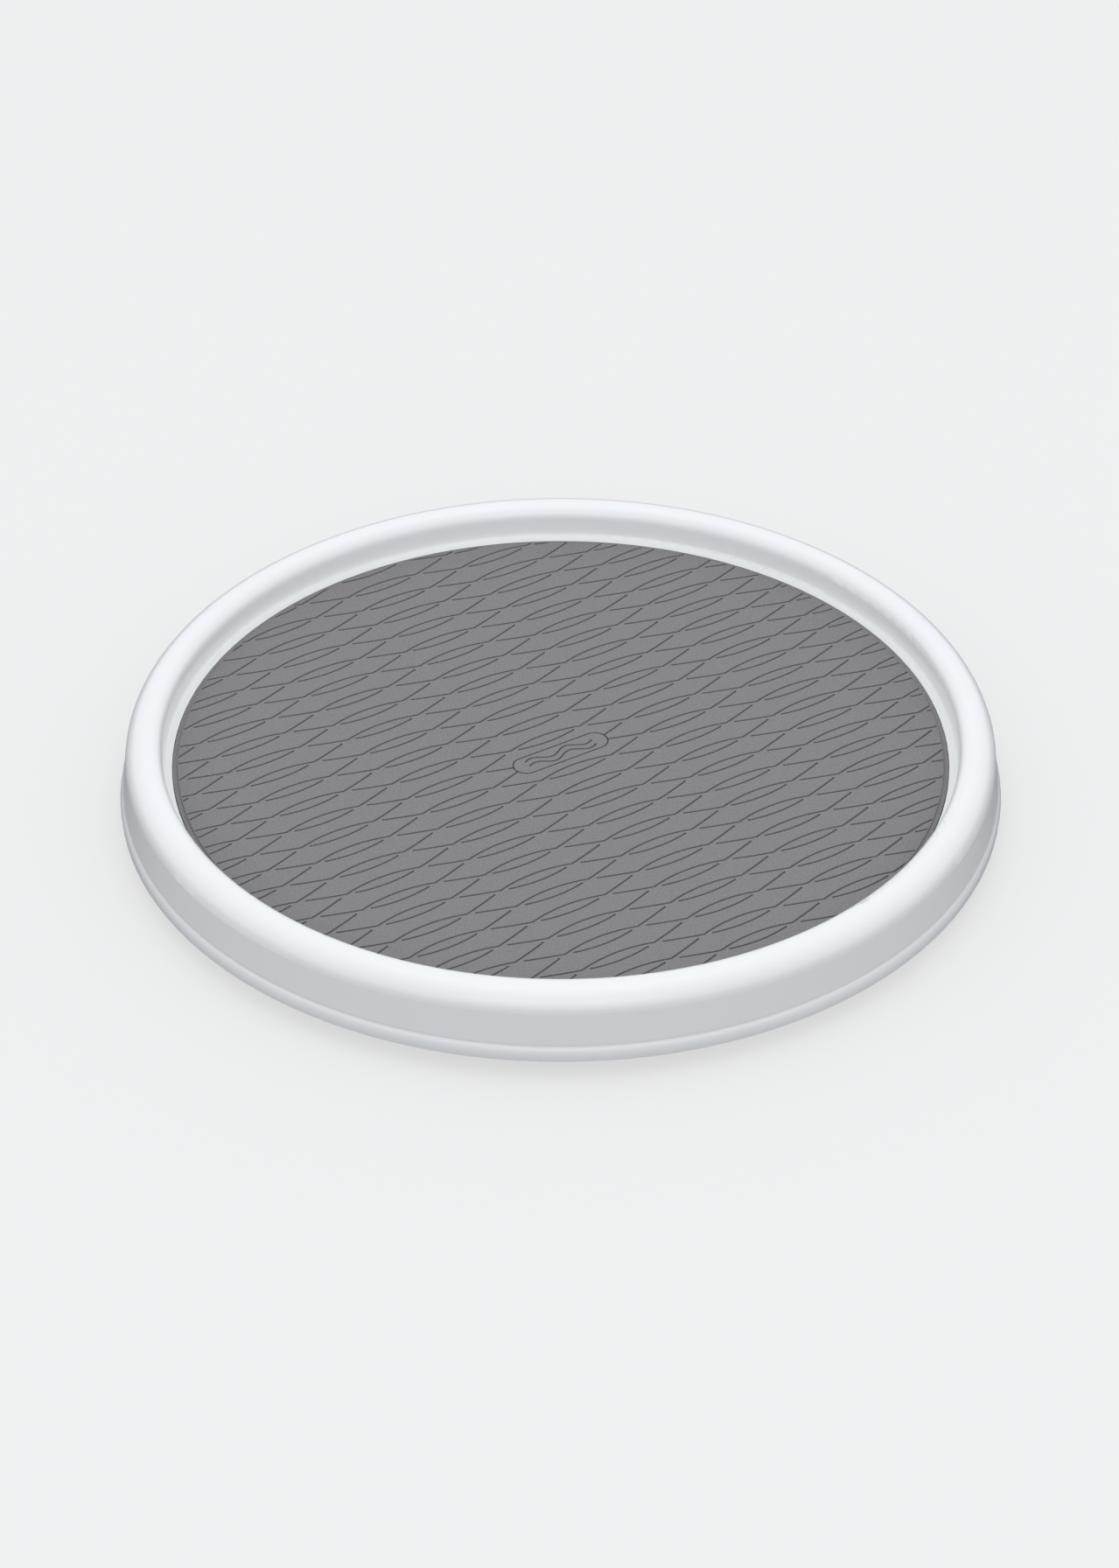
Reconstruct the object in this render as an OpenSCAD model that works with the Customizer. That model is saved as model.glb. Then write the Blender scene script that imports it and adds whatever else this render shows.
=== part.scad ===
// Lazy susan turntable: a round tray with a rolled rim and an inlaid grip mat.
// The tray turns on a ring of steel balls that run in a groove of a smaller base.
// Millimetres, +Z up, origin on the table under the spin axis.

/* [Overall] */
// Largest diameter, across the lip of the tray
tray_d = 304.8; // [296:0.2:330]
// Height from the table to the top of the rim
overall_h = 31.75; // [30.5:0.05:36]

/* [Tray rim] */
// Radius of the rolled top of the rim on its outer side
crest_r = 8.1; // [7.4:0.1:8.4]
// Radius of the rolled top of the rim on its inner side
crest_in_r = 4.6; // [4:0.1:5.2]
// Distance from the lip in to the line along the top of the rim
crest_inset = 10.5; // [10.2:0.1:11]
// Wall thickness of the moulded tray
wall_t = 2.2; // [1.8:0.1:2.6]
// Radius of the cove between the rim and the floor margin
cove_r = 1.5; // [1:0.1:2.2]
// Height of the lip above its lower edge
lip_h = 5.5; // [5:0.1:6.5]
// How far the lip stands out from the wall
lip_out = 1.2; // [1:0.1:1.6]
// Radius of the soft crease between the wall and the lip
crease_r = 1.2; // [0.5:0.1:1.8]
// Gap between the table and the lower edge of the lip
lip_lift = 7; // [6:0.1:8]

/* [Tray floor] */
// Thickness of the tray floor
floor_t = 2.3; // [2:0.1:2.6]
// Depth of the recess that holds the mat
recess_depth = 1.3; // [1:0.1:1.5]
// Width of the bare floor between the mat and the rim
margin_w = 3.45; // [3:0.05:4.2]
// Height of the stiffening ribs under the floor
rib_h = 3; // [2:0.1:3.2]

/* [Mat] */
// Thickness of the mat at its thin border
mat_border_t = 1.6; // [1.4:0.05:1.8]
// Step from the thin border up to the main field of the mat
mat_step = 0.6; // [0.3:0.05:0.8]
// Width of the thin border
mat_border_w = 1.6; // [1:0.1:3]
// Gap all round between the mat and its recess
mat_gap = 0.3; // [0.2:0.05:0.5]

/* [Ball race] */
// Diameter of one steel ball
ball_d = 6.35; // [6:0.05:6.35]
// Radius of the circle of ball centres
race_r = 88; // [80:1:90]
// Width of the two raised race rings
race_w = 10; // [9.5:0.1:12]
// Distance between the faces of the two race rings
race_gap = 2.4; // [2.2:0.1:2.8]
// Play between a ball and each groove
race_play = 0.125; // [0.11:0.005:0.15]
// Thickness of the ball cage
cage_t = 1.6; // [1:0.1:1.6]
// Width of the ball cage
cage_w = 12; // [11:0.1:13]
// Play between a ball and its cage pocket
pocket_play = 0.275; // [0.2:0.025:0.35]

/* [Base] */
// Outer diameter of the base
base_d = 220; // [216:1:230]
// Height of the base from its lower edge to the top of its deck
base_h = 5.9; // [5.7:0.1:6.2]
// Wall thickness of the moulded base
base_t = 2.2; // [1.9:0.1:2.4]
// Radius of the circle of foot centres
foot_ring_r = 98; // [96.5:0.1:98]
// Diameter of one foot pad
foot_d = 16; // [12:0.5:16]
// Thickness of one foot pad
foot_t = 3.5; // [3:0.1:4]
// How far the foot pads stand below the base
foot_proud = 1.5; // [1.4:0.1:1.8]

/* [Pivot] */
// Diameter of the pivot boss under the tray
pivot_d = 12; // [11:0.1:13]
// Radial play between the pivot boss and the hub
pivot_play = 0.08; // [0.03:0.01:0.1]
// Outside diameter of the retaining washer
washer_d = 24; // [20:0.5:25]
// Thickness of the retaining washer
washer_t = 1.2; // [1:0.1:1.4]
// Diameter of the pivot screw shank
screw_d = 3.8; // [3.5:0.1:4.2]
// Diameter of the pivot screw head
head_d = 8.6; // [7.5:0.1:9.5]
// Height of the pivot screw head
head_h = 2.1; // [1.8:0.1:2.1]

/* [Hidden] */
$fn = 96;

// counts that the list of nodes above fixes
ball_count = 24;
foot_count = 6;

// heights, from the table up
deck_z = foot_proud + base_h;
race_skin = 0.1;
groove_r = ball_d / 2 + race_play;
ball_z = deck_z + race_skin + groove_r;
lower_race_z = ball_z - race_gap / 2;
upper_race_z = ball_z + race_gap / 2;
roof_over_groove = 1.9;
floor_z = ball_z + groove_r + roof_over_groove;
recess_z = floor_z + floor_t;
margin_z = recess_z + recess_depth;
under_margin_z = margin_z - floor_t;
crest_z = overall_h - crest_r;
crest_in_z = overall_h - crest_in_r;

// radii of the tray
lip_radius = tray_d / 2;
wall_foot_r = lip_radius - lip_out;
crest_ring_r = lip_radius - crest_inset;
rim_in_r = crest_ring_r - crest_in_r;
recess_r = rim_in_r - margin_w + mat_gap;
mat_r = recess_r - mat_gap;
margin_step_w = 2.3;

// the outer wall is straight and touches the outer rounding of the rim
lip_top_z = lip_lift + lip_h;
wall_foot = [wall_foot_r, lip_top_z];
crest_centre = [crest_ring_r, crest_z];
foot_from_crest = wall_foot - crest_centre;
wall_turn = atan2(foot_from_crest[1], foot_from_crest[0]) + acos(crest_r / norm(foot_from_crest));
wall_top = crest_centre + crest_r * [cos(wall_turn), sin(wall_turn)];
wall_run = wall_foot - wall_top;
wall_dir = wall_run / norm(wall_run);
wall_out = [-wall_dir[1], wall_dir[0]];

// the lip face is one arc, upright at its widest point
lip_wide_z = lip_lift + 1.5;
lip_rise = lip_top_z - lip_wide_z;
lip_arc_r = (lip_rise * lip_rise + lip_out * lip_out) / (2 * lip_out);
lip_centre = [lip_radius - lip_arc_r, lip_wide_z];

// the crease arc touches both the wall and the lip arc
crease_start = wall_top + crease_r * wall_out - lip_centre;
crease_b = crease_start * wall_dir;
crease_c = crease_start * crease_start - pow(lip_arc_r + crease_r, 2);
crease_run = -crease_b - sqrt(crease_b * crease_b - crease_c);
crease_centre = lip_centre + crease_start + crease_run * wall_dir;
crease_on_wall = crease_centre - crease_r * wall_out;
crease_on_lip = lip_centre + (crease_centre - lip_centre) * lip_arc_r / (lip_arc_r + crease_r);

// pivot stack
hub_wall = 4;
hub_r = pivot_d / 2 + pivot_play + hub_wall;
hub_top_z = deck_z + 4.6;
collar_gap = 0.6;
collar_r = 9;
axial_play = 0.3;
deck_under_z = deck_z - base_t;
boss_z = deck_under_z - axial_play;
washer_z = boss_z - washer_t;
head_z = washer_z - head_h;
washer_bore_play = 0.25;
pilot_play = 0.1;
pilot_top_z = floor_z - 0.6;
screw_tip_gap = 0.5;
cross_w = 1.1;
cross_l = 4.8;
cross_depth = 1.2;
head_round = 0.8;

// ribs
rib_t = 1.6;
rib_root = 1;
tray_inner_ribs = 12;
tray_outer_ribs = 24;
hoop_r = race_r + race_w / 2 + 21;
base_ribs = 12;
base_rib_turn = 15;
well_in_r = 14;
well_out_r = 16;
base_edge_round = 2;

// feet
foot_boss_wall = 2;
foot_socket_play = 0.15;
foot_round = 0.6;

// small overlap for clean cuts and joins
eps = 0.5;

// places one child on a ring, at a given turn about +Z
module on_ring(radius, turn) {
  rotate([0, 0, turn])
    translate([radius, 0, 0])
      children();
}

// a radial rib from r1 to r2 between two heights
module radial_rib(r1, r2, z1, z2, turn) {
  rotate([0, 0, turn])
    translate([r1, -rib_t / 2, z1])
      cube([r2 - r1, rib_t, z2 - z1]);
}

// a plain ring between two radii and two heights
module hoop(r1, r2, z1, z2) {
  rotate_extrude()
    translate([r1, z1])
      square([r2 - r1, z2 - z1]);
}

// the torus swept by the ball groove
module ball_groove() {
  rotate_extrude()
    translate([race_r, ball_z])
      circle(r = groove_r);
}

// half section of the tray skin, without ribs, rings and boss
module tray_section() {
  difference() {
    union() {
      translate([0, floor_z])
        square([crest_ring_r, floor_t]);
      translate([recess_r - margin_step_w, under_margin_z])
        square([crest_ring_r - recess_r + margin_step_w, floor_t]);
      translate([rim_in_r - cove_r, margin_z - eps])
        square([crest_ring_r - rim_in_r + cove_r, cove_r + eps]);
      translate([rim_in_r, margin_z])
        square([crest_ring_r - rim_in_r, crest_in_z - margin_z]);
      translate([crest_ring_r, crest_in_z])
        circle(r = crest_in_r);
      intersection() {
        translate(crest_centre)
          circle(r = crest_r);
        translate(crest_centre)
          square([crest_r + 1, crest_r + 1]);
      }
      polygon([
        crest_centre,
        wall_top,
        wall_foot,
        [wall_foot_r, lip_lift],
        [crest_ring_r, lip_lift]
      ]);
      intersection() {
        translate(lip_centre)
          circle(r = lip_arc_r);
        translate([lip_radius - lip_arc_r, lip_lift])
          square([lip_arc_r + 1, 2 * lip_arc_r]);
      }
      difference() {
        polygon([
          crease_on_wall,
          crease_centre,
          crease_on_lip,
          [wall_foot_r - 1, crease_on_lip[1]]
        ]);
        translate(crease_centre)
          circle(r = crease_r);
      }
    }
    // the cove
    translate([rim_in_r - cove_r, margin_z + cove_r])
      circle(r = cove_r);
    // the recess for the mat
    translate([-1, recess_z])
      square([recess_r + 1, cove_r + recess_depth + 2]);
    // the hollow under the rim, open below
    translate([crest_ring_r, crest_in_z])
      circle(r = crest_in_r - wall_t);
    intersection() {
      translate(crest_centre)
        circle(r = crest_r - wall_t);
      translate(crest_centre)
        square([crest_r, crest_r]);
    }
    polygon([
      [rim_in_r + wall_t, crest_in_z],
      [crest_ring_r, crest_in_z],
      crest_centre,
      wall_top - wall_t * wall_out,
      wall_foot - wall_t * wall_out,
      [wall_foot_r - wall_t, lip_lift - 1],
      [rim_in_r + wall_t, lip_lift - 1]
    ]);
    // the back of the lip
    translate(lip_centre)
      circle(r = lip_arc_r - wall_t);
    translate([wall_foot_r - wall_t - 1, lip_lift - 1])
      square([lip_out + 1, lip_wide_z - lip_lift + 1]);
  }
}

module tray() {
  color("white")
    difference() {
      union() {
        rotate_extrude()
          tray_section();
        // upper race ring
        hoop(race_r - race_w / 2, race_r + race_w / 2, upper_race_z, floor_z + rib_root);
        // pivot boss with a collar at its root
        translate([0, 0, boss_z])
          cylinder(d = pivot_d, h = floor_z + rib_root - boss_z);
        translate([0, 0, hub_top_z + collar_gap])
          cylinder(r = collar_r, h = floor_z + rib_root - hub_top_z - collar_gap);
        // ribs inside and outside the race ring, and one hoop
        for (i = [0 : tray_inner_ribs - 1])
          radial_rib(collar_r - 1, race_r - race_w / 2 + 1, floor_z - rib_h,
            floor_z + rib_root, i * 360 / tray_inner_ribs);
        for (i = [0 : tray_outer_ribs - 1])
          radial_rib(race_r + race_w / 2 - 1, rim_in_r, floor_z - rib_h,
            floor_z + rib_root + eps, i * 360 / tray_outer_ribs);
        hoop(hoop_r, hoop_r + rib_t, floor_z - rib_h, floor_z + rib_root);
      }
      ball_groove();
      translate([0, 0, boss_z - 1])
        cylinder(d = screw_d + 2 * pilot_play, h = pilot_top_z - boss_z + 1);
    }
}

module mat() {
  color("gray")
    union() {
      translate([0, 0, recess_z])
        cylinder(r = mat_r, h = mat_border_t, $fn = 240);
      translate([0, 0, recess_z])
        cylinder(r = mat_r - mat_border_w, h = mat_border_t + mat_step, $fn = 240);
    }
}

// half section of the base: deck, rounded edge and skirt
module base_section() {
  edge_r = base_d / 2;
  difference() {
    union() {
      translate([0, foot_proud])
        square([edge_r - base_edge_round, base_h]);
      translate([0, foot_proud])
        square([edge_r, base_h - base_edge_round]);
      translate([edge_r - base_edge_round, deck_z - base_edge_round])
        circle(r = base_edge_round);
    }
    translate([-1, foot_proud - 1])
      square([edge_r - base_t + 1, base_h - base_t + 1]);
  }
}

module base() {
  color("whitesmoke")
    difference() {
      union() {
        rotate_extrude()
          base_section();
        // lower race ring
        hoop(race_r - race_w / 2, race_r + race_w / 2, deck_z - rib_root, lower_race_z);
        // hub above the deck and well wall below it
        translate([0, 0, deck_under_z])
          cylinder(r = hub_r, h = hub_top_z - deck_under_z);
        hoop(well_in_r, well_out_r, foot_proud, deck_under_z + rib_root);
        // ribs under the deck
        for (i = [0 : base_ribs - 1])
          radial_rib(well_out_r - 1, base_d / 2 - base_t / 2, foot_proud,
            deck_under_z + rib_root, i * 360 / base_ribs + base_rib_turn);
        // bosses that hold the foot pads
        for (i = [0 : foot_count - 1])
          on_ring(foot_ring_r, i * 360 / foot_count)
            translate([0, 0, foot_proud])
              cylinder(d = foot_d + 2 * foot_boss_wall, h = base_h - base_t + rib_root);
      }
      ball_groove();
      // bore for the pivot boss
      translate([0, 0, foot_proud - 1])
        cylinder(r = pivot_d / 2 + pivot_play, h = hub_top_z);
      // sockets for the foot pads
      for (i = [0 : foot_count - 1])
        on_ring(foot_ring_r, i * 360 / foot_count)
          translate([0, 0, foot_proud - 1])
            cylinder(d = foot_d + 2 * foot_socket_play, h = foot_t - foot_proud + 1);
    }
}

module ball_cage() {
  color("ivory")
    difference() {
      hoop(race_r - cage_w / 2, race_r + cage_w / 2, ball_z - cage_t / 2, ball_z + cage_t / 2);
      for (i = [0 : ball_count - 1])
        on_ring(race_r, i * 360 / ball_count)
          translate([0, 0, ball_z - cage_t])
            cylinder(r = ball_d / 2 + pocket_play, h = 2 * cage_t);
    }
}

// ball number n, counted from +X round towards +Y
module ball(n) {
  color("silver")
    on_ring(race_r, (n - 1) * 360 / ball_count)
      translate([0, 0, ball_z])
        sphere(d = ball_d);
}

module pivot_screw() {
  shank_top_z = pilot_top_z - screw_tip_gap;
  color("silver")
    difference() {
      union() {
        translate([0, 0, washer_z - eps])
          cylinder(d = screw_d, h = shank_top_z - washer_z + eps);
        rotate_extrude()
          union() {
            translate([0, head_z + head_round])
              square([head_d / 2, head_h - head_round]);
            translate([0, head_z])
              square([head_d / 2 - head_round, head_h]);
            translate([head_d / 2 - head_round, head_z + head_round])
              circle(r = head_round);
          }
      }
      for (turn = [0, 90])
        rotate([0, 0, turn])
          translate([-cross_l / 2, -cross_w / 2, head_z - 1])
            cube([cross_l, cross_w, cross_depth + 1]);
    }
}

module retaining_washer() {
  color("silver")
    difference() {
      translate([0, 0, washer_z])
        cylinder(d = washer_d, h = washer_t);
      translate([0, 0, washer_z - 1])
        cylinder(d = screw_d + 2 * washer_bore_play, h = washer_t + 2);
    }
}

// foot pad number n, counted from +X round towards +Y
module foot(n) {
  color("dimgray")
    on_ring(foot_ring_r, (n - 1) * 360 / foot_count)
      rotate_extrude()
        union() {
          translate([0, foot_round])
            square([foot_d / 2, foot_t - foot_round]);
          square([foot_d / 2 - foot_round, foot_t]);
          translate([foot_d / 2 - foot_round, foot_round])
            circle(r = foot_round);
        }
}

tray();
mat();
base();
ball_cage();
ball(1);  // ball_01
ball(2);  // ball_02
ball(3);  // ball_03
ball(4);  // ball_04
ball(5);  // ball_05
ball(6);  // ball_06
ball(7);  // ball_07
ball(8);  // ball_08
ball(9);  // ball_09
ball(10);  // ball_10
ball(11);  // ball_11
ball(12);  // ball_12
ball(13);  // ball_13
ball(14);  // ball_14
ball(15);  // ball_15
ball(16);  // ball_16
ball(17);  // ball_17
ball(18);  // ball_18
ball(19);  // ball_19
ball(20);  // ball_20
ball(21);  // ball_21
ball(22);  // ball_22
ball(23);  // ball_23
ball(24);  // ball_24
pivot_screw();
retaining_washer();
foot(1);  // foot_1
foot(2);  // foot_2
foot(3);  // foot_3
foot(4);  // foot_4
foot(5);  // foot_5
foot(6);  // foot_6
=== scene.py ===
# %% [markdown]
# # A lazy susan turntable
# The exact solids of the turntable are already made: a tray, a mat, a base, a cage with 24 balls,
# a screw, a washer and six feet. They arrive as a frame that must not move. This lesson gives each
# piece the surface it has on the real object, and rebuilds in mesh those pieces whose fine shape
# the solids leave out, such as the engraved lines of the mat.
# All lengths are in metres. The spin axis is Z and the table is at height zero.

# %% Load the frame
import math

import bmesh
import bpy
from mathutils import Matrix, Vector


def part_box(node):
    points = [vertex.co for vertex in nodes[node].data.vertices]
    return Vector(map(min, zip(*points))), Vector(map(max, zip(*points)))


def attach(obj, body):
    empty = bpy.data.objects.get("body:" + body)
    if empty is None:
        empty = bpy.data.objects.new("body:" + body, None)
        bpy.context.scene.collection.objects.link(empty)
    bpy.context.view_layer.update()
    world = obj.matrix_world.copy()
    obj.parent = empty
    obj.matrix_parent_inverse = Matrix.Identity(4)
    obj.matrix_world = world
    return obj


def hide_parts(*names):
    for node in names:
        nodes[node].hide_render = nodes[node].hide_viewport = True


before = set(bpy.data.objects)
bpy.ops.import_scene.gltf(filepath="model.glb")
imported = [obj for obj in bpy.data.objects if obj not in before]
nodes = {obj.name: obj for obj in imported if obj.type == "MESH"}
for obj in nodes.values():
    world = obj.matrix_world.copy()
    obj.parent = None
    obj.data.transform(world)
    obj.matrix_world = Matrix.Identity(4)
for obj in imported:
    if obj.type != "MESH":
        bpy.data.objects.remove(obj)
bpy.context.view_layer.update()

MM = 0.001

# %% [markdown]
# ## Camera
# The turntable is seen from the front and from above, about a third of the way up from level to
# straight down. A long lens from almost two metres keeps the ellipses of the rim nearly parallel,
# so the camera's distance matters as much as its angle. The frame is taller than it is wide, and
# the lens is set against the taller side.

# %% Camera
ELEVATION = math.radians(36.11)
DISTANCE = 1.8
LENS, SENSOR = 119.0, 36.0
AIM = Vector((-0.40 * MM, 0.83 * MM, 6.6 * MM))

camera_data = bpy.data.cameras.new("view")
camera_data.sensor_width = SENSOR
camera_data.lens = LENS
camera = bpy.data.objects.new("view", camera_data)
toward = Vector((0.0, math.cos(ELEVATION), -math.sin(ELEVATION)))
camera.location = AIM - toward * DISTANCE
camera.rotation_euler = toward.to_track_quat("-Z", "Y").to_euler()
camera_data.clip_end = DISTANCE + 20
bpy.context.scene.collection.objects.link(camera)
bpy.context.scene.camera = camera
print("camera at", [round(c, 3) for c in camera.location])

# %% [markdown]
# ## A way to write shader maths
# A material's nodes are easier to read as sums than as boxes and wires. `Wire` stands for one
# output socket, and its operators add Math nodes, so `1 - mask` is a node too. `Sheet` holds one
# node tree and adds any other kind of node: settings first, then the values or wires of its sockets.
# The same two classes serve the materials and the Geometry Nodes trees.

# %% Wires and sheets
class Wire:
    def __init__(self, sheet, socket):
        self.sheet, self.socket = sheet, socket

    def maths(self, operation, a, b=0.0, clamp=False):
        settings = {"operation": operation, "use_clamp": clamp}
        return self.sheet.node("ShaderNodeMath", settings, {0: a, 1: b})

    def __add__(self, other): return self.maths("ADD", self, other)
    def __radd__(self, other): return self.maths("ADD", other, self)
    def __sub__(self, other): return self.maths("SUBTRACT", self, other)
    def __rsub__(self, other): return self.maths("SUBTRACT", other, self)
    def __mul__(self, other): return self.maths("MULTIPLY", self, other)
    def __rmul__(self, other): return self.maths("MULTIPLY", other, self)
    def __truediv__(self, other): return self.maths("DIVIDE", self, other)
    def __pow__(self, other): return self.maths("POWER", self, other)
    def __abs__(self): return self.maths("ABSOLUTE", self)

    def clamped(self): return self.maths("ADD", self, 0.0, clamp=True)
    def least(self, other): return self.maths("MINIMUM", self, other)
    def most(self, other): return self.maths("MAXIMUM", self, other)


class Sheet:
    def __init__(self, tree):
        self.tree = tree

    def node(self, kind, settings=None, values=None, out=0):
        made = self.tree.nodes.new(kind)
        for name, value in (settings or {}).items():
            setattr(made, name, value)
        for name, value in (values or {}).items():
            socket = made.inputs[name]
            if isinstance(value, Wire):
                self.tree.links.new(value.socket, socket)
            else:
                socket.default_value = value
        return Wire(self, None if out is None else made.outputs[out])

    def axes(self, place):
        """The x, y and z of a place, as three wires."""
        split = self.node("ShaderNodeSeparateXYZ", None, {0: place}).socket.node
        return [Wire(self, output) for output in split.outputs]


print("wires and sheets ready")

# %% [markdown]
# ## Lathed forms
# The mat, the balls and the feet are round, so each starts as a half section drawn as a list of
# (radius, height) points and turned about an axis. Writing the ring of faces by hand keeps the
# point at each pole single and every face pointing outwards, which the Spin tool doesn't promise.

# %% A lathe
ON_AXIS = 1e-9


def lathe(name, section, segments, centre=(0.0, 0.0)):
    """A closed solid turned from (radius, height) points, listed from the lower pole to the upper."""
    mesh = bmesh.new()
    rings = []
    for radius, height in section:
        if radius < ON_AXIS:
            rings.append([mesh.verts.new((centre[0], centre[1], height))])
            continue
        ring = []
        for i in range(segments):
            turn = 2 * math.pi * i / segments
            ring.append(mesh.verts.new((centre[0] + radius * math.cos(turn),
                                        centre[1] + radius * math.sin(turn), height)))
        rings.append(ring)
    for low, high in zip(rings, rings[1:]):
        for i in range(segments):
            j = (i + 1) % segments
            if len(low) == 1:
                mesh.faces.new((low[0], high[j], high[i]))
            elif len(high) == 1:
                mesh.faces.new((low[i], low[j], high[0]))
            else:
                mesh.faces.new((low[i], low[j], high[j], high[i]))
    bmesh.ops.recalc_face_normals(mesh, faces=mesh.faces[:])
    data = bpy.data.meshes.new(name)
    mesh.to_mesh(data)
    mesh.free()
    made = bpy.data.objects.new(name, data)
    bpy.context.scene.collection.objects.link(made)
    return made


def corner(radius_at, height_at, size, start, end, steps=4):
    """Points of a rounded corner: an arc of that size, between two angles in degrees."""
    points = []
    for i in range(steps + 1):
        turn = math.radians(start + (end - start) * i / steps)
        points.append((radius_at + size * math.cos(turn), height_at + size * math.sin(turn)))
    return points


print("lathe ready")

# %% [markdown]
# ## The engraved mat
# The mat is a thin sheet of soft grey elastomer. Its face is engraved with wavy strands that cross
# and part like the threads of a loose net: each strand runs straight, bends over a lens, and runs
# straight again, and the strand under it stops short on both sides of every crossing. That is a
# rule, so Geometry Nodes draw it. One strand and one lower arc are swept into thin tubes, placed
# on every point of a lattice and cut out of the mat, so the grooves are real and catch the light.
# First comes the blank: a thin border, a small step, and the raised field.

# %% Mat blank
low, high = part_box("mat")
MAT_R = high.x
MAT_LOW, MAT_TOP = low.z, high.z
BORDER = 1.6 * MM
STEP = 0.6 * MM
SOFT = 0.22 * MM
RISER_LEAN = 0.02 * MM
MAT_SEGMENTS = 288
field_r = MAT_R - BORDER
section = [(0.0, MAT_LOW), (MAT_R - SOFT, MAT_LOW), (MAT_R, MAT_LOW + SOFT)]
section += corner(MAT_R - SOFT, MAT_TOP - STEP - SOFT, SOFT, 0, 90)
section += [(field_r + RISER_LEAN, MAT_TOP - STEP)]
section += corner(field_r - SOFT, MAT_TOP - SOFT, SOFT, 0, 90)
section += [(0.0, MAT_TOP)]
mat = lathe("engraved_mat", section, MAT_SEGMENTS)
print("mat blank:", len(mat.data.polygons), "faces, radius", round(MAT_R / MM, 2), "mm")

# %% [markdown]
# The elastomer has a fine matt grain and a faint cloudiness where the sheet cooled unevenly. The
# grooves get painted shade with a little dust: their colour is darkened to stand in for the shade
# that falls in them. Height above the table tells the material where a groove is, because inside the
# border everything below the flat face is a groove. A mask on the distance from the middle keeps that
# painted shade off the border, which lies lower but is just as clean as the field.

# %% Mat material
def new_material(name):
    """An empty material, its sheet, and wires for a point's place in millimetres."""
    material = bpy.data.materials.new(name)
    material.use_nodes = True
    material.node_tree.nodes.clear()
    sheet = Sheet(material.node_tree)
    where = sheet.node("ShaderNodeTexCoord", None, None, "Object")
    in_mm = sheet.node("ShaderNodeVectorMath", {"operation": "SCALE"}, {0: where, "Scale": 1000.0})
    return material, sheet, in_mm


def noise(sheet, place, scale, detail=3.0, rough=0.55):
    """Noise from 0 to 1 whose features are about 1 / scale millimetres wide."""
    values = {"Vector": place, "Scale": scale, "Detail": detail, "Roughness": rough}
    return sheet.node("ShaderNodeTexNoise", {"noise_dimensions": "3D"}, values, "Fac")


def blend(sheet, factor, a, b):
    """Colour a where factor is 0 and colour b where it is 1."""
    return sheet.node("ShaderNodeMix", {"data_type": "RGBA"}, {"Factor": factor, "A": a, "B": b}, "Result")


def bump(sheet, height, distance_mm, strength, under=None):
    values = {"Height": height, "Distance": distance_mm * MM, "Strength": strength}
    if under is not None:
        values["Normal"] = under
    return sheet.node("ShaderNodeBump", None, values)


def finish_material(sheet, values):
    """The main shader and the output, with its sockets set last."""
    shader = sheet.node("ShaderNodeBsdfPrincipled", None, values)
    sheet.node("ShaderNodeOutputMaterial", None, {"Surface": shader}, None)


GROOVE_STARTS = MAT_TOP / MM - 0.03
GROOVE_FADE, FIELD_FADE = 5.0, 4.0
elastomer, s, place = new_material("grey_elastomer")
x, y, height = s.axes(place)
field_mask = ((field_r / MM - (x * x + y * y) ** 0.5) * FIELD_FADE).clamped()
groove_shade_and_dust = ((GROOVE_STARTS - height) * GROOVE_FADE).clamped() * field_mask
grain = noise(s, place, 1.8, 4.0, 0.75)
mottle = ((grain - 0.5) * 3.0 + 0.5).clamped()
cloud = noise(s, place, 0.035, 3.0)
speck = ((noise(s, place, 1.9, 2.0) - 0.66) * 7.0).clamped()
grey = blend(s, mottle, (0.146, 0.143, 0.150, 1), (0.258, 0.253, 0.263, 1))
grey = blend(s, cloud * 0.3, grey, (0.226, 0.216, 0.226, 1))
grey = blend(s, speck * 0.14, grey, (0.40, 0.39, 0.41, 1))
# Painted shade with a little dust: the colour darkens with depth in the grooves, standing in for the shade
# that falls there.
grey = blend(s, groove_shade_and_dust * 0.75, grey, (0.05, 0.048, 0.053, 1))
elastomer_normal = bump(s, grain, 0.10, 0.35, bump(s, noise(s, place, 0.9, 2.0), 0.12, 0.15))
finish_material(s, {"Base Color": grey, "Roughness": 0.66 + grain * 0.16 + groove_shade_and_dust * 0.1,
                    "Specular IOR Level": 0.42, "Normal": elastomer_normal})
print("mat material:", len(elastomer.node_tree.nodes), "nodes")

# %% [markdown]
# The lattice repeats every 44.45 mm along the strands and 10.16 mm across them, with every second
# column half a row up. A lens is 28.2 mm long and rises 2.1 mm each way. The tree below takes
# those sizes as named inputs. A tube of round section, with its axis just above the surface, cuts
# a shallow groove with steep sides.

# %% Engraving tree
def new_tree(name, inputs):
    """A Geometry Nodes tree with a geometry input, named number inputs and a geometry output."""
    tree = bpy.data.node_groups.new(name, "GeometryNodeTree")
    tree.interface.new_socket("Geometry", in_out="INPUT", socket_type="NodeSocketGeometry")
    tree.interface.new_socket("Geometry", in_out="OUTPUT", socket_type="NodeSocketGeometry")
    for label, default in inputs.items():
        kind = "NodeSocketInt" if isinstance(default, int) else "NodeSocketFloat"
        tree.interface.new_socket(label, in_out="INPUT", socket_type=kind)
    sheet = Sheet(tree)
    inlet = tree.nodes.new("NodeGroupInput")
    return tree, sheet, {label: Wire(sheet, inlet.outputs[label]) for label in ["Geometry", *inputs]}


def end_tree(sheet, geometry, material):
    """Every tree ends the same way: real faces, then their material."""
    geometry = sheet.node("GeometryNodeRealizeInstances", None, {"Geometry": geometry})
    geometry = sheet.node("GeometryNodeSetMaterial", None, {"Geometry": geometry, "Material": material})
    sheet.node("NodeGroupOutput", None, {"Geometry": geometry}, None)


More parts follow.
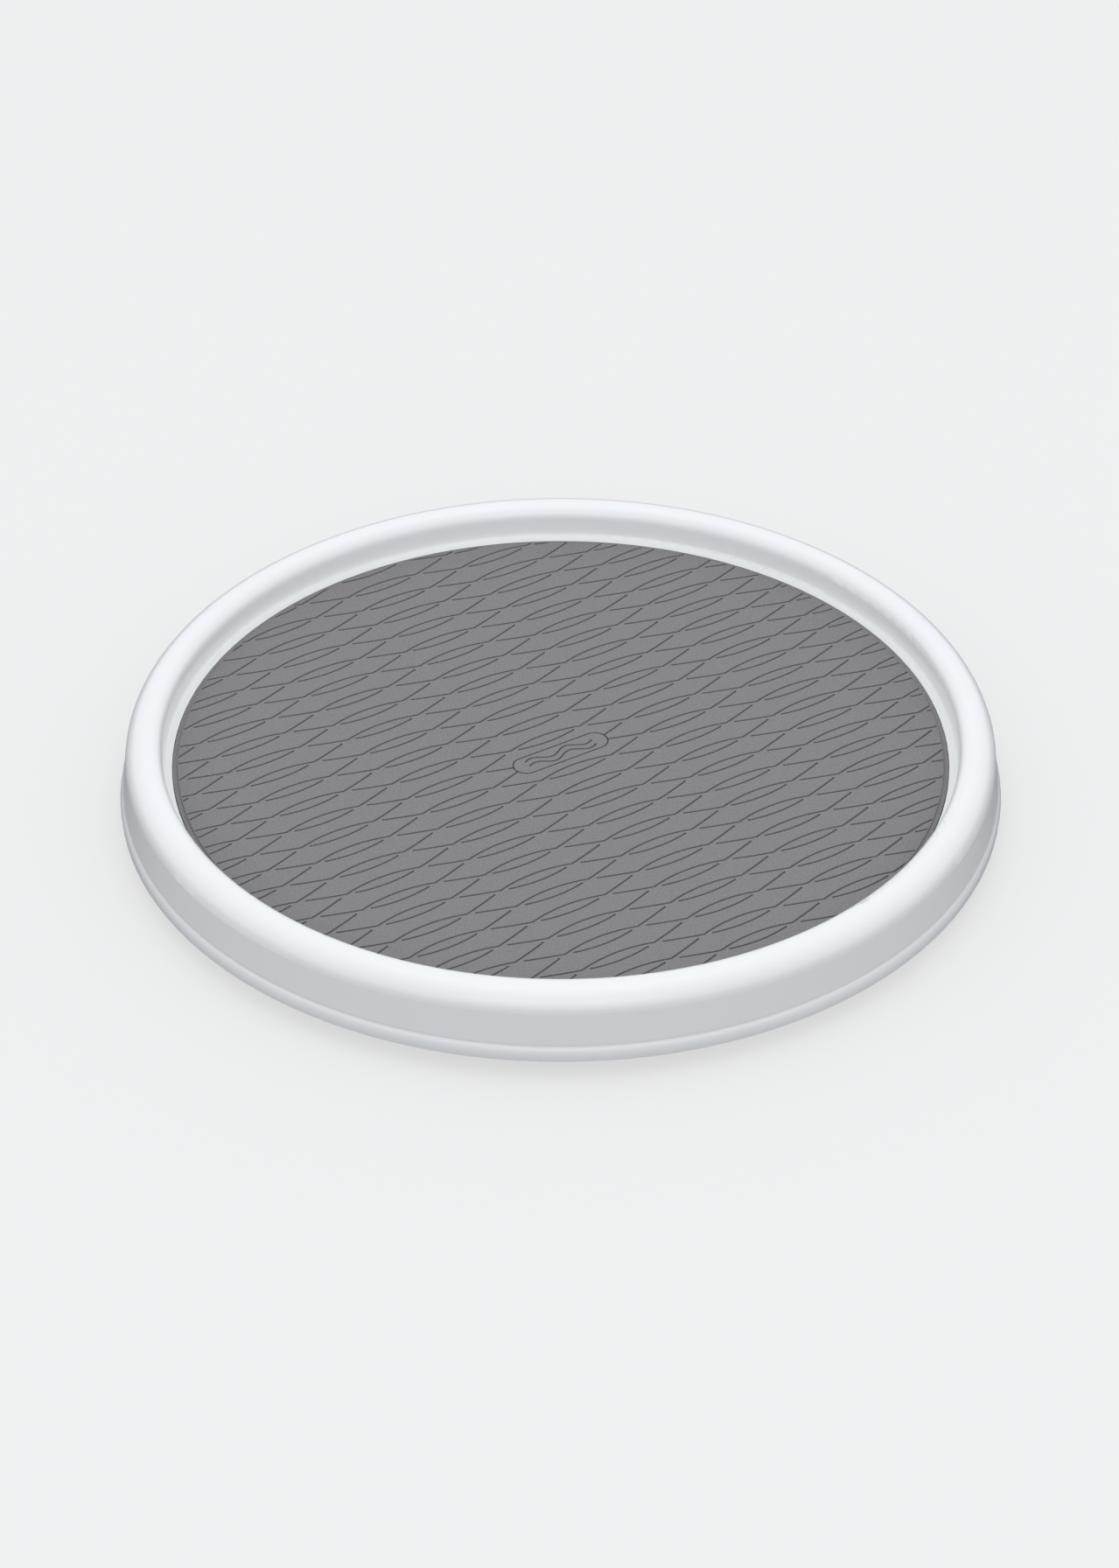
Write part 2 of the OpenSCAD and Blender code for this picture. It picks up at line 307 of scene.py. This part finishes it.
ENGRAVING = {
    "Column spacing": 44.45 * MM,
    "Row spacing": 10.16 * MM,
    "Lens half length": 14.1 * MM,
    "Lens rise": 2.1 * MM,
    "Crossing gap": 2.7 * MM,
    "Strand bow": 0.2 * MM,
    "Line radius": 0.40 * MM,
    "Line lift": 0.04 * MM,
    "Direction": math.radians(32.0),
    "Field radius": 131.9 * MM,
    "Surface height": MAT_TOP,
    "Columns": 7,
    "Rows": 29,
    "Plaque length": 37.6 * MM,
    "Plaque width": 9.8 * MM,
    "Outline width": 0.55 * MM,
    "Outline depth": 0.30 * MM,
    "Wave rise": 1.4 * MM,
    "Wave length": 13.9 * MM,
    "Wave thickness": 2.8 * MM,
}
tree, g, size = new_tree("engraving", ENGRAVING)
print("engraving inputs:", len(ENGRAVING))

# %% [markdown]
# One number v runs from -1 to 1 along each line. It is split so that a point of the line falls
# exactly on each bend, where a strand leaves its straight run and starts over its lens.

# %% Swept lines
LENS_SHARE = 0.58
BAR_SIDES = 12
STRAND_POINTS, ARC_POINTS = 39, 17


def swept_line(points_along, radius, lift, place):
    """A line of that many points, moved by place(v) for v from -1 to 1 and swept as a round bar."""
    line = g.node("GeometryNodeCurvePrimitiveLine", None, {"Start": (-1, 0, 0), "End": (1, 0, 0)})
    line = g.node("GeometryNodeResampleCurve", {"mode": "COUNT"}, {"Curve": line, "Count": points_along})
    v = g.axes(g.node("GeometryNodeInputPosition"))[0]
    along, across = place(v)
    spot = g.node("ShaderNodeCombineXYZ", None, {"X": along, "Y": across, "Z": lift})
    line = g.node("GeometryNodeSetPosition", None, {"Geometry": line, "Position": spot})
    ring = g.node("GeometryNodeCurvePrimitiveCircle", None, {"Resolution": BAR_SIDES, "Radius": radius})
    return g.node("GeometryNodeCurveToMesh", None,
                  {"Curve": line, "Profile Curve": ring, "Fill Caps": True})


def strand(v):
    """Straight, over a lens, straight again."""
    half, gap = size["Lens half length"], size["Crossing gap"]
    whole_run = size["Column spacing"] - half * 2
    far = abs(v)
    inner = far.least(LENS_SHARE) * (1 / LENS_SHARE)
    outer = (far - LENS_SHARE).most(0.0) * (1 / (1 - LENS_SHARE))
    distance = inner * half + outer * (whole_run - gap)
    run = outer * (whole_run - gap) / whole_run
    over = (1 - inner * inner) * size["Lens rise"]
    straight = run * size["Row spacing"] * 0.5 - run * (1 - run) * 4 * size["Strand bow"]
    return distance * v.maths("SIGN", v), over + straight


def lower_arc(v):
    half = size["Lens half length"]
    along = v * (half - size["Crossing gap"])
    share = along / half
    return along, (share * share - 1) * size["Lens rise"]


strand_bar = swept_line(STRAND_POINTS, size["Line radius"], size["Line lift"], strand)
arc_bar = swept_line(ARC_POINTS, size["Line radius"], size["Line lift"], lower_arc)
cell = g.node("GeometryNodeJoinGeometry")
for piece in (strand_bar, arc_bar):
    g.tree.links.new(piece.socket, cell.socket.node.inputs[0])
print("one cell: a strand and a lower arc")

# %% [markdown]
# The lattice points come from a point's own number: the column is the number divided by the rows,
# and the row is what is left over. The bars are cut off at the edge of the field and round the
# plaque in the middle, and then everything is cut from the blank in one Boolean. The Manifold
# solver is used because all these solids are closed, and it is the fastest by far.

# %% Lattice and cuts
FIELD_SIDES, END_SIDES = 256, 64
FIELD_DEPTH = 4 * MM


def boolean(operation, first, *others):
    made = g.node("GeometryNodeMeshBoolean", {"operation": operation, "solver": "MANIFOLD"})
    node = made.socket.node
    if first is not None:
        g.tree.links.new(first.socket, node.inputs["Mesh 1"])
    for other in others:
        g.tree.links.new(other.socket, node.inputs["Mesh 2"])
    return made


def moved(geometry, x=0.0, z=0.0, turn=0.0):
    shift = g.node("ShaderNodeCombineXYZ", None, {"X": x, "Y": 0.0, "Z": z})
    spin = g.node("ShaderNodeCombineXYZ", None, {"X": 0.0, "Y": 0.0, "Z": turn})
    return g.node("GeometryNodeTransform", None,
                  {"Geometry": geometry, "Translation": shift, "Rotation": spin})


number = g.node("GeometryNodeInputIndex")
column = number.maths("FLOOR", number / size["Rows"])
row = number - column * size["Rows"]
column = column - (size["Columns"] - 1) * 0.5
row = row - (size["Rows"] - 1) * 0.5
stagger = column.maths("MODULO", abs(column), 2.0) * 0.5
spot = g.node("ShaderNodeCombineXYZ", None, {
    "X": column * size["Column spacing"], "Y": (row + stagger) * size["Row spacing"], "Z": 0.0})
lattice = g.node("GeometryNodePoints", None,
                 {"Count": size["Columns"] * size["Rows"], "Position": spot})
bars = g.node("GeometryNodeInstanceOnPoints", None, {"Points": lattice, "Instance": cell})
bars = g.node("GeometryNodeRealizeInstances", None, {"Geometry": bars})

field = g.node("GeometryNodeMeshCylinder", None,
               {"Vertices": FIELD_SIDES, "Radius": size["Field radius"], "Depth": FIELD_DEPTH})


def stadium(inset):
    """Three closed blocks that fill the plaque's round-ended shape, less an inset all round."""
    width = size["Plaque width"] - inset * 2
    straight, deep = size["Plaque length"] - size["Plaque width"], size["Outline depth"] * 2
    block = g.node("ShaderNodeCombineXYZ", None, {"X": straight, "Y": width, "Z": deep})
    parts = [g.node("GeometryNodeMeshCube", None, {"Size": block})]
    for side in (-0.5, 0.5):
        end = g.node("GeometryNodeMeshCylinder", None,
                     {"Vertices": END_SIDES, "Radius": width * 0.5, "Depth": deep})
        parts.append(moved(end, x=straight * side))
    return parts


plaque = stadium(0.0)
bars = boolean("DIFFERENCE", boolean("INTERSECT", None, bars, field), *plaque)
outline = boolean("DIFFERENCE", boolean("UNION", None, *plaque), *stadium(size["Outline width"]))
print("lattice trimmed, outline of the plaque made")

# %% [markdown]
# The plaque in the middle carries a plain wave: two engraved lines that run side by side, like the
# edges of a ribbon. Everything is then moved to the face of the mat, turned to the direction of the
# strands, and cut from the blank at once.

# %% Wave and cut
WAVE_POINTS = 121
WAVE_REACH = 0.48


def wave(side):
    """The place function of one edge of the ribbon; side is -0.5 or 0.5."""
    def place(v):
        along = v * (size["Plaque length"] - size["Plaque width"]) * WAVE_REACH
        turn = along / size["Wave length"] * (2 * math.pi)
        across = v.maths("SINE", turn) * size["Wave rise"]
        return along, across + size["Wave thickness"] * side
    return place


cuts = [bars, outline]
for side in (-0.5, 0.5):
    cuts.append(swept_line(WAVE_POINTS, size["Line radius"], size["Line lift"], wave(side)))
placed = [moved(part, z=size["Surface height"], turn=size["Direction"]) for part in cuts]
end_tree(g, boolean("DIFFERENCE", size["Geometry"], *placed), elastomer)
print("sets of cuts:", len(cuts))

# %% [markdown]
# A tree only describes the cuts. `grow` runs it once and keeps the result as a plain mesh, so that
# the finished piece needs no modifier and can be exported as it is.

# %% Grow the mat
def grow(target, tree, values):
    """Run a tree on an object and keep the result as that object's plain mesh."""
    modifier = target.modifiers.new(tree.name, "NODES")
    modifier.node_group = tree
    for item in tree.interface.items_tree:
        if item.in_out == "INPUT" and item.name in values:
            modifier[item.identifier] = values[item.name]
    graph = bpy.context.evaluated_depsgraph_get()
    graph.update()
    result = bpy.data.meshes.new_from_object(target.evaluated_get(graph), depsgraph=graph)
    target.modifiers.remove(modifier)
    target.data = result
    result.name = target.name
    return sum(len(face.vertices) - 2 for face in result.polygons)


SHARP = math.radians(28)
triangles = grow(mat, tree, ENGRAVING)
mat.data.shade_smooth()
mat.data.set_sharp_from_angle(angle=SHARP)
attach(mat, "tray")
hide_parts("mat")
print("engraved mat:", triangles, "triangles")

# %% [markdown]
# ## White plastic of the tray
# The tray is moulded in glossy white plastic. A perfect white would look like paper, so the colour
# drifts very slightly, the gloss varies where hands and dust have dulled it, and a shallow ripple,
# far too fine to see as a shape, bends the reflections as on any moulding. A thin band at the crease
# between the wall and the lip is painted darker: painted shade that tones down the light on top of
# the lip. It lies at one height, so height alone finds it.

# %% Tray material
CREASE_Z = 12.5
CREASE_REACH = 0.7
OUTSIDE_R = 150.0
tray_white, s, place = new_material("tray_white_gloss")
drift = noise(s, place, 0.012, 2.0)
film = noise(s, place, 0.05, 4.0, 0.62)
speck = ((noise(s, place, 1.1, 2.0) - 0.7) * 8.0).clamped()
white = blend(s, drift, (0.815, 0.82, 0.83, 1), (0.83, 0.833, 0.84, 1))
white = blend(s, speck * 0.10, white, (0.62, 0.61, 0.60, 1))
x, y, height = s.axes(place)
outside = ((x * x + y * y) ** 0.5 - OUTSIDE_R).clamped()
# Painted shade: a thin darker band at the crease, at one height on the outside only, tones down the light
# on top of the lip.
crease_painted_shade = (1 - abs(height - CREASE_Z) / CREASE_REACH).clamped() * outside
white = blend(s, crease_painted_shade * 0.55, white, (0.56, 0.55, 0.55, 1))
ripple = bump(s, noise(s, place, 0.16, 2.0), 0.05, 0.10)
satin = bump(s, noise(s, place, 5.0, 3.0), 0.01, 0.12, ripple)
finish_material(s, {"Base Color": white, "Roughness": 0.24 + film * 0.12 + speck * 0.2,
                    "Specular IOR Level": 0.5, "Coat Weight": 0.25, "Coat Roughness": 0.08,
                    "Normal": satin})


def paint(names, material):
    """Give carried-over solids their finish."""
    for name in names:
        data = nodes[name].data
        for i in range(len(data.materials)):
            data.materials[i] = material
        if not data.materials:
            data.materials.append(material)


paint(["tray"], tray_white)
print("tray painted")

# %% [markdown]
# ## The parts under the tray
# These pieces show only from the side or from below. The base is the same plastic with a satin
# texture. The cage is uncoloured nylon, the balls are ground steel, the screw and washer are bright
# zinc, and the feet are dark rubber. Each finish has its own grain, because a plain colour would
# make steel, nylon and rubber look alike.

# %% Base, cage and ball materials
base_white, s, place = new_material("base_white_satin")
film = noise(s, place, 0.06, 3.0)
finish_material(s, {"Base Color": blend(s, film, (0.74, 0.74, 0.75, 1), (0.79, 0.79, 0.80, 1)),
                    "Roughness": 0.42 + film * 0.15,
                    "Normal": bump(s, noise(s, place, 2.4, 3.0), 0.02, 0.3)})
paint(["base"], base_white)

nylon, s, place = new_material("cage_nylon")
film = noise(s, place, 0.2, 3.0)
finish_material(s, {"Base Color": blend(s, film, (0.60, 0.575, 0.48, 1), (0.66, 0.64, 0.55, 1)),
                    "Roughness": 0.38 + film * 0.12,
                    "Normal": bump(s, noise(s, place, 1.5, 2.0), 0.02, 0.2)})
paint(["ball_cage"], nylon)

steel, s, place = new_material("ball_steel")
haze = noise(s, place, 1.2, 4.0, 0.7)
finish_material(s, {"Base Color": blend(s, haze, (0.60, 0.61, 0.63, 1), (0.68, 0.69, 0.70, 1)),
                    "Metallic": 1.0, "Roughness": 0.10 + haze * 0.16})

zinc, s, place = new_material("bright_zinc")
haze = noise(s, place, 0.8, 4.0, 0.7)
finish_material(s, {"Base Color": blend(s, haze, (0.52, 0.54, 0.57, 1), (0.64, 0.65, 0.66, 1)),
                    "Metallic": 1.0, "Roughness": 0.26 + haze * 0.2,
                    "Normal": bump(s, noise(s, place, 6.0, 2.0), 0.01, 0.3)})
paint(["pivot_screw", "retaining_washer"], zinc)

rubber, s, place = new_material("foot_rubber")
grain = noise(s, place, 2.5, 4.0, 0.7)
finish_material(s, {"Base Color": blend(s, grain, (0.022, 0.022, 0.024, 1), (0.05, 0.049, 0.052, 1)),
                    "Roughness": 0.7 + grain * 0.2,
                    "Normal": bump(s, grain, 0.08, 0.4)})
print("finishes made for base, cage, balls, screw and feet")

# %% [markdown]
# ## Balls
# Twenty-four ground steel balls roll between the two grooves. The play between a ball and its
# grooves is an eighth of a millimetre, which is less than the flats of a coarse mesh stand out, so
# each ball is lathed again with finer faces and a few hundredths of a millimetre smaller. It then
# turns in its grooves without cutting into them at any angle.

# %% Balls
SHRINK = 0.07 * MM
BALL_RINGS, BALL_SEGMENTS = 24, 48
balls = sorted(name for name in nodes if name.startswith("ball_") and name != "ball_cage")
for name in balls:
    low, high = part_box(name)
    middle = (low + high) / 2
    half_section = corner(0.0, middle.z, (high.z - low.z) / 2 - SHRINK, -90, 90, BALL_RINGS)
    ball = lathe(name.replace("ball", "race_ball"), half_section, BALL_SEGMENTS, (middle.x, middle.y))
    ball.data.materials.append(steel)
    ball.data.shade_smooth()
    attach(ball, name)
    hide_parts(name)
print("balls:", len(balls), "with", len(ball.data.polygons), "faces each")

# %% [markdown]
# ## Feet
# Each foot is a rubber button pressed into its socket. Its sole has three round grooves, which let
# the rubber grip a damp shelf. The grooves are part of one lathed section, so the sole is real
# geometry, and the same section serves all six feet. The section is written for the foot's own
# lower face, which touches the table.

# %% Foot pads
PAD_SEGMENTS = 64


def sole(outer, top):
    """Half section of a foot from the middle of its sole to the middle of its top."""
    depth, slope, land, gap = 0.5 * MM, 0.15 * MM, 1.1 * MM, 0.7 * MM
    edge, bevel = 0.5 * MM, 0.2 * MM
    inner = 1.5 * MM
    points = [(0.0, depth)]
    for _ in range(3):
        points += [(inner, depth), (inner + slope, 0.0), (inner + slope + land, 0.0),
                   (inner + 2 * slope + land, depth)]
        inner += 2 * slope + land + gap
    points += [(inner, depth), (inner + slope, 0.0)]
    points += corner(outer - edge, edge, edge, -90, 0)
    return points + [(outer, top - bevel), (outer - bevel, top), (0.0, top)]


feet = [name for name in nodes if name.startswith("foot_")]
for name in feet:
    low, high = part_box(name)
    middle = (low + high) / 2
    section = sole((high.x - low.x) / 2, high.z)
    pad = lathe(name.replace("foot", "foot_pad"), section, PAD_SEGMENTS, (middle.x, middle.y))
    pad.data.materials.append(rubber)
    pad.data.shade_smooth()
    pad.data.set_sharp_from_angle(angle=math.radians(30))
    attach(pad, "base")
    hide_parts(name)
print("foot pads:", len(feet), "with", len(pad.data.polygons), "faces each")

# %% [markdown]
# ## Floor
# The turntable stands on a plain pale floor. A floor that is physically white would throw as much
# light up under the lip as the sky throws down, and the walls would lose their shape. So the floor
# is mostly an even glow with a little real shading for the contact shadow, and it sends only a dim
# bounce to the object: Light Path tells the two kinds of ray apart. It is clear from below, so that
# the underside can be seen.

# %% Floor
FLOOR_R = 6.0
GLOW_SHARE, GLOW = 0.72, 0.865
floor_mesh = bmesh.new()
bmesh.ops.create_circle(floor_mesh, cap_ends=True, segments=96, radius=FLOOR_R)
floor_data = bpy.data.meshes.new("floor")
floor_mesh.to_mesh(floor_data)
floor_mesh.free()
floor = bpy.data.objects.new("floor", floor_data)
bpy.context.scene.collection.objects.link(floor)
pale, s, _ = new_material("pale_floor")
shaded = s.node("ShaderNodeBsdfDiffuse", None, {"Color": (0.80, 0.80, 0.80, 1)})
glowing = s.node("ShaderNodeEmission", None, {"Color": (1, 1, 1, 1), "Strength": GLOW})
plain = s.node("ShaderNodeMixShader", None, {0: GLOW_SHARE, 1: shaded, 2: glowing})
dim = s.node("ShaderNodeBsdfDiffuse", None, {"Color": (0.19, 0.19, 0.195, 1)})
seen = s.node("ShaderNodeLightPath", None, None, "Is Camera Ray")
solid = s.node("ShaderNodeMixShader", None, {0: seen, 1: dim, 2: plain})
clear = s.node("ShaderNodeBsdfTransparent")
under = s.node("ShaderNodeNewGeometry", None, None, "Backfacing")
s.node("ShaderNodeOutputMaterial", None,
       {"Surface": s.node("ShaderNodeMixShader", None, {0: under, 1: solid, 2: clear})}, None)
floor_data.materials.append(pale)
print("floor ready")

# %% [markdown]
# ## Light
# The light is that of a product table: a bright sky on all sides, which shades every curve gently
# from bright on top to grey on the walls. Two large soft lamps help it. The one overhead lifts the
# top of the rim and darkens the shadow under the lip, and the one in front lights the near wall and
# the inside of the far rim. A single small lamp would draw hard edges that soft plastic never shows.

# %% Light
def soft_light(name, spot, power, width, depth):
    """A soft rectangular lamp, aimed at the turntable."""
    data = bpy.data.lights.new(name, "AREA")
    data.shape, data.size, data.size_y = "RECTANGLE", width, depth
    data.energy = power
    light = bpy.data.objects.new(name, data)
    light.location = spot
    light.rotation_euler = (-Vector(spot)).to_track_quat("-Z", "Y").to_euler()
    bpy.context.scene.collection.objects.link(light)


soft_light("overhead", (0.0, 0.1, 2.4), power=4.0, width=1.6, depth=1.6)
soft_light("front", (0.0, -2.6, 1.5), power=9.0, width=2.2, depth=1.2)

world = bpy.data.worlds.new("studio")
bpy.context.scene.world = world
world.use_nodes = True
world.node_tree.nodes.clear()
w = Sheet(world.node_tree)
glow = w.node("ShaderNodeBackground", None, {"Color": (0.965, 0.99, 1.02, 1), "Strength": 1.0})
w.node("ShaderNodeOutputWorld", None, {"Surface": glow}, None)
bpy.context.scene.view_settings.view_transform = "Standard"
print("lights ready")
